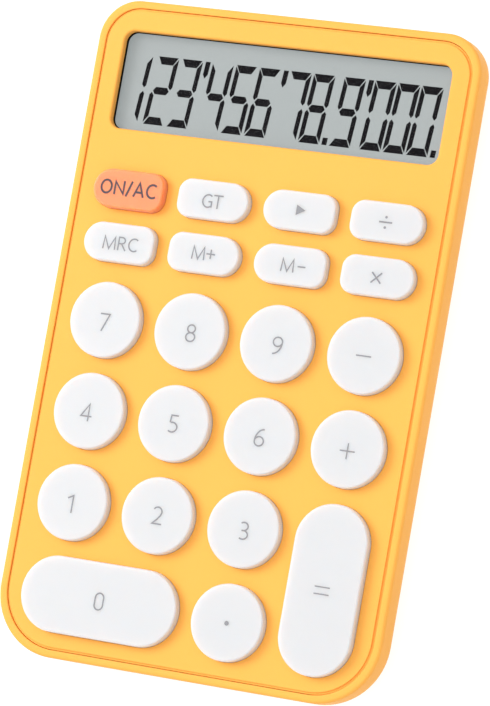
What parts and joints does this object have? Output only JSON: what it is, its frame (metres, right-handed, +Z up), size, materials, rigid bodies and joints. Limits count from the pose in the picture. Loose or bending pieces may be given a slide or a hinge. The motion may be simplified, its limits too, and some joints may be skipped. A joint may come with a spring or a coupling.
{
  "type": "desk calculator",
  "caption": "Slim rectangular desk calculator with a recessed display window above a grid of round and pill-shaped press keys.",
  "frame": {"origin": "middle of the underside, on the plane that the rubber feet rest on", "axes": "+X to the user's right, +Y from the user towards the display end, +Z up out of the key face"},
  "size_m": [0.093, 0.1494, 0.013],
  "materials": {
    "shell": "satin moulded, fine grain",
    "white_cap": "satin moulded",
    "orange_cap": "satin moulded",
    "foam": "matt closed-cell foam",
    "lens": "clear acrylic, polished",
    "lcd": "grey reflective polariser",
    "carrier": "moulded",
    "zebra": "silicone elastomer",
    "silicone": "moulded silicone",
    "board": "glass-epoxy laminate with solder mask",
    "resin": "black potting resin",
    "ceramic": "ceramic",
    "screw_steel": "zinc plated",
    "cell": "nickel plated",
    "spring_metal": "nickel-plated phosphor bronze",
    "foot_rubber": "matt rubber",
    "red_insulation": "wire insulation",
    "black_insulation": "wire insulation"
  },
  "bodies": {
    "housing": {"rear_case": "shell", "face_plate": "shell", "display_gasket": "foam", "display_lens": "lens", "lcd_panel": "lcd", "lcd_carrier": "carrier", "contact_strip": "zebra", "keypad_mat": "silicone", "circuit_board": "board", "chip_blob": "resin", "filter_capacitor": "ceramic", "clock_resistor": "resin", "case_screw_1": "screw_steel", "case_screw_2": "screw_steel", "case_screw_3": "screw_steel", "case_screw_4": "screw_steel", "case_screw_5": "screw_steel", "board_screw_1": "screw_steel", "board_screw_2": "screw_steel", "board_screw_3": "screw_steel", "board_screw_4": "screw_steel", "coin_cell": "cell", "positive_contact": "spring_metal", "negative_contact": "spring_metal", "red_lead": "red_insulation", "black_lead": "black_insulation", "foot_1": "foot_rubber", "foot_2": "foot_rubber", "foot_3": "foot_rubber", "foot_4": "foot_rubber"},
    "key_on_clear": {"key_on_clear": "orange_cap"},
    "key_grand_total": {"key_grand_total": "white_cap"},
    "key_play": {"key_play": "white_cap"},
    "key_divide": {"key_divide": "white_cap"},
    "key_memory_recall": {"key_memory_recall": "white_cap"},
    "key_memory_plus": {"key_memory_plus": "white_cap"},
    "key_memory_minus": {"key_memory_minus": "white_cap"},
    "key_multiply": {"key_multiply": "white_cap"},
    "key_7": {"key_7": "white_cap"},
    "key_8": {"key_8": "white_cap"},
    "key_9": {"key_9": "white_cap"},
    "key_minus": {"key_minus": "white_cap"},
    "key_4": {"key_4": "white_cap"},
    "key_5": {"key_5": "white_cap"},
    "key_6": {"key_6": "white_cap"},
    "key_plus": {"key_plus": "white_cap"},
    "key_1": {"key_1": "white_cap"},
    "key_2": {"key_2": "white_cap"},
    "key_3": {"key_3": "white_cap"},
    "key_point": {"key_point": "white_cap"},
    "key_0": {"key_0": "white_cap"},
    "key_equals": {"key_equals": "white_cap"},
    "battery_door": {"battery_door": "shell"}
  },
  "joints": [
    {"name": "key_on_clear_press", "type": "slide", "parent": "housing", "child": "key_on_clear", "axis": [0, 0, -1], "range_m": [0, 0.0013], "stiffness_N_per_m": 400, "springref_m": -0.0003, "deforming": ["keypad_mat"]},
    {"name": "key_grand_total_press", "type": "slide", "parent": "housing", "child": "key_grand_total", "axis": [0, 0, -1], "range_m": [0, 0.0013], "stiffness_N_per_m": 400, "springref_m": -0.0003, "deforming": ["keypad_mat"]},
    {"name": "key_play_press", "type": "slide", "parent": "housing", "child": "key_play", "axis": [0, 0, -1], "range_m": [0, 0.0013], "stiffness_N_per_m": 400, "springref_m": -0.0003, "deforming": ["keypad_mat"]},
    {"name": "key_divide_press", "type": "slide", "parent": "housing", "child": "key_divide", "axis": [0, 0, -1], "range_m": [0, 0.0013], "stiffness_N_per_m": 400, "springref_m": -0.0003, "deforming": ["keypad_mat"]},
    {"name": "key_memory_recall_press", "type": "slide", "parent": "housing", "child": "key_memory_recall", "axis": [0, 0, -1], "range_m": [0, 0.0013], "stiffness_N_per_m": 400, "springref_m": -0.0003, "deforming": ["keypad_mat"]},
    {"name": "key_memory_plus_press", "type": "slide", "parent": "housing", "child": "key_memory_plus", "axis": [0, 0, -1], "range_m": [0, 0.0013], "stiffness_N_per_m": 400, "springref_m": -0.0003, "deforming": ["keypad_mat"]},
    {"name": "key_memory_minus_press", "type": "slide", "parent": "housing", "child": "key_memory_minus", "axis": [0, 0, -1], "range_m": [0, 0.0013], "stiffness_N_per_m": 400, "springref_m": -0.0003, "deforming": ["keypad_mat"]},
    {"name": "key_multiply_press", "type": "slide", "parent": "housing", "child": "key_multiply", "axis": [0, 0, -1], "range_m": [0, 0.0013], "stiffness_N_per_m": 400, "springref_m": -0.0003, "deforming": ["keypad_mat"]},
    {"name": "key_7_press", "type": "slide", "parent": "housing", "child": "key_7", "axis": [0, 0, -1], "range_m": [0, 0.0013], "stiffness_N_per_m": 400, "springref_m": -0.0003, "deforming": ["keypad_mat"]},
    {"name": "key_8_press", "type": "slide", "parent": "housing", "child": "key_8", "axis": [0, 0, -1], "range_m": [0, 0.0013], "stiffness_N_per_m": 400, "springref_m": -0.0003, "deforming": ["keypad_mat"]},
    {"name": "key_9_press", "type": "slide", "parent": "housing", "child": "key_9", "axis": [0, 0, -1], "range_m": [0, 0.0013], "stiffness_N_per_m": 400, "springref_m": -0.0003, "deforming": ["keypad_mat"]},
    {"name": "key_minus_press", "type": "slide", "parent": "housing", "child": "key_minus", "axis": [0, 0, -1], "range_m": [0, 0.0013], "stiffness_N_per_m": 400, "springref_m": -0.0003, "deforming": ["keypad_mat"]},
    {"name": "key_4_press", "type": "slide", "parent": "housing", "child": "key_4", "axis": [0, 0, -1], "range_m": [0, 0.0013], "stiffness_N_per_m": 400, "springref_m": -0.0003, "deforming": ["keypad_mat"]},
    {"name": "key_5_press", "type": "slide", "parent": "housing", "child": "key_5", "axis": [0, 0, -1], "range_m": [0, 0.0013], "stiffness_N_per_m": 400, "springref_m": -0.0003, "deforming": ["keypad_mat"]},
    {"name": "key_6_press", "type": "slide", "parent": "housing", "child": "key_6", "axis": [0, 0, -1], "range_m": [0, 0.0013], "stiffness_N_per_m": 400, "springref_m": -0.0003, "deforming": ["keypad_mat"]},
    {"name": "key_plus_press", "type": "slide", "parent": "housing", "child": "key_plus", "axis": [0, 0, -1], "range_m": [0, 0.0013], "stiffness_N_per_m": 400, "springref_m": -0.0003, "deforming": ["keypad_mat"]},
    {"name": "key_1_press", "type": "slide", "parent": "housing", "child": "key_1", "axis": [0, 0, -1], "range_m": [0, 0.0013], "stiffness_N_per_m": 400, "springref_m": -0.0003, "deforming": ["keypad_mat"]},
    {"name": "key_2_press", "type": "slide", "parent": "housing", "child": "key_2", "axis": [0, 0, -1], "range_m": [0, 0.0013], "stiffness_N_per_m": 400, "springref_m": -0.0003, "deforming": ["keypad_mat"]},
    {"name": "key_3_press", "type": "slide", "parent": "housing", "child": "key_3", "axis": [0, 0, -1], "range_m": [0, 0.0013], "stiffness_N_per_m": 400, "springref_m": -0.0003, "deforming": ["keypad_mat"]},
    {"name": "key_point_press", "type": "slide", "parent": "housing", "child": "key_point", "axis": [0, 0, -1], "range_m": [0, 0.0013], "stiffness_N_per_m": 400, "springref_m": -0.0003, "deforming": ["keypad_mat"]},
    {"name": "key_0_press", "type": "slide", "parent": "housing", "child": "key_0", "axis": [0, 0, -1], "range_m": [0, 0.0013], "stiffness_N_per_m": 400, "springref_m": -0.0003, "deforming": ["keypad_mat"]},
    {"name": "key_equals_press", "type": "slide", "parent": "housing", "child": "key_equals", "axis": [0, 0, -1], "range_m": [0, 0.0013], "stiffness_N_per_m": 400, "springref_m": -0.0003, "deforming": ["keypad_mat"]},
    {"name": "battery_door_turn", "type": "hinge", "parent": "housing", "child": "battery_door", "pos_m": [0, 0.055, 0.0015], "axis": [0, 0, 1], "range_deg": [0, 40]}
  ]
}
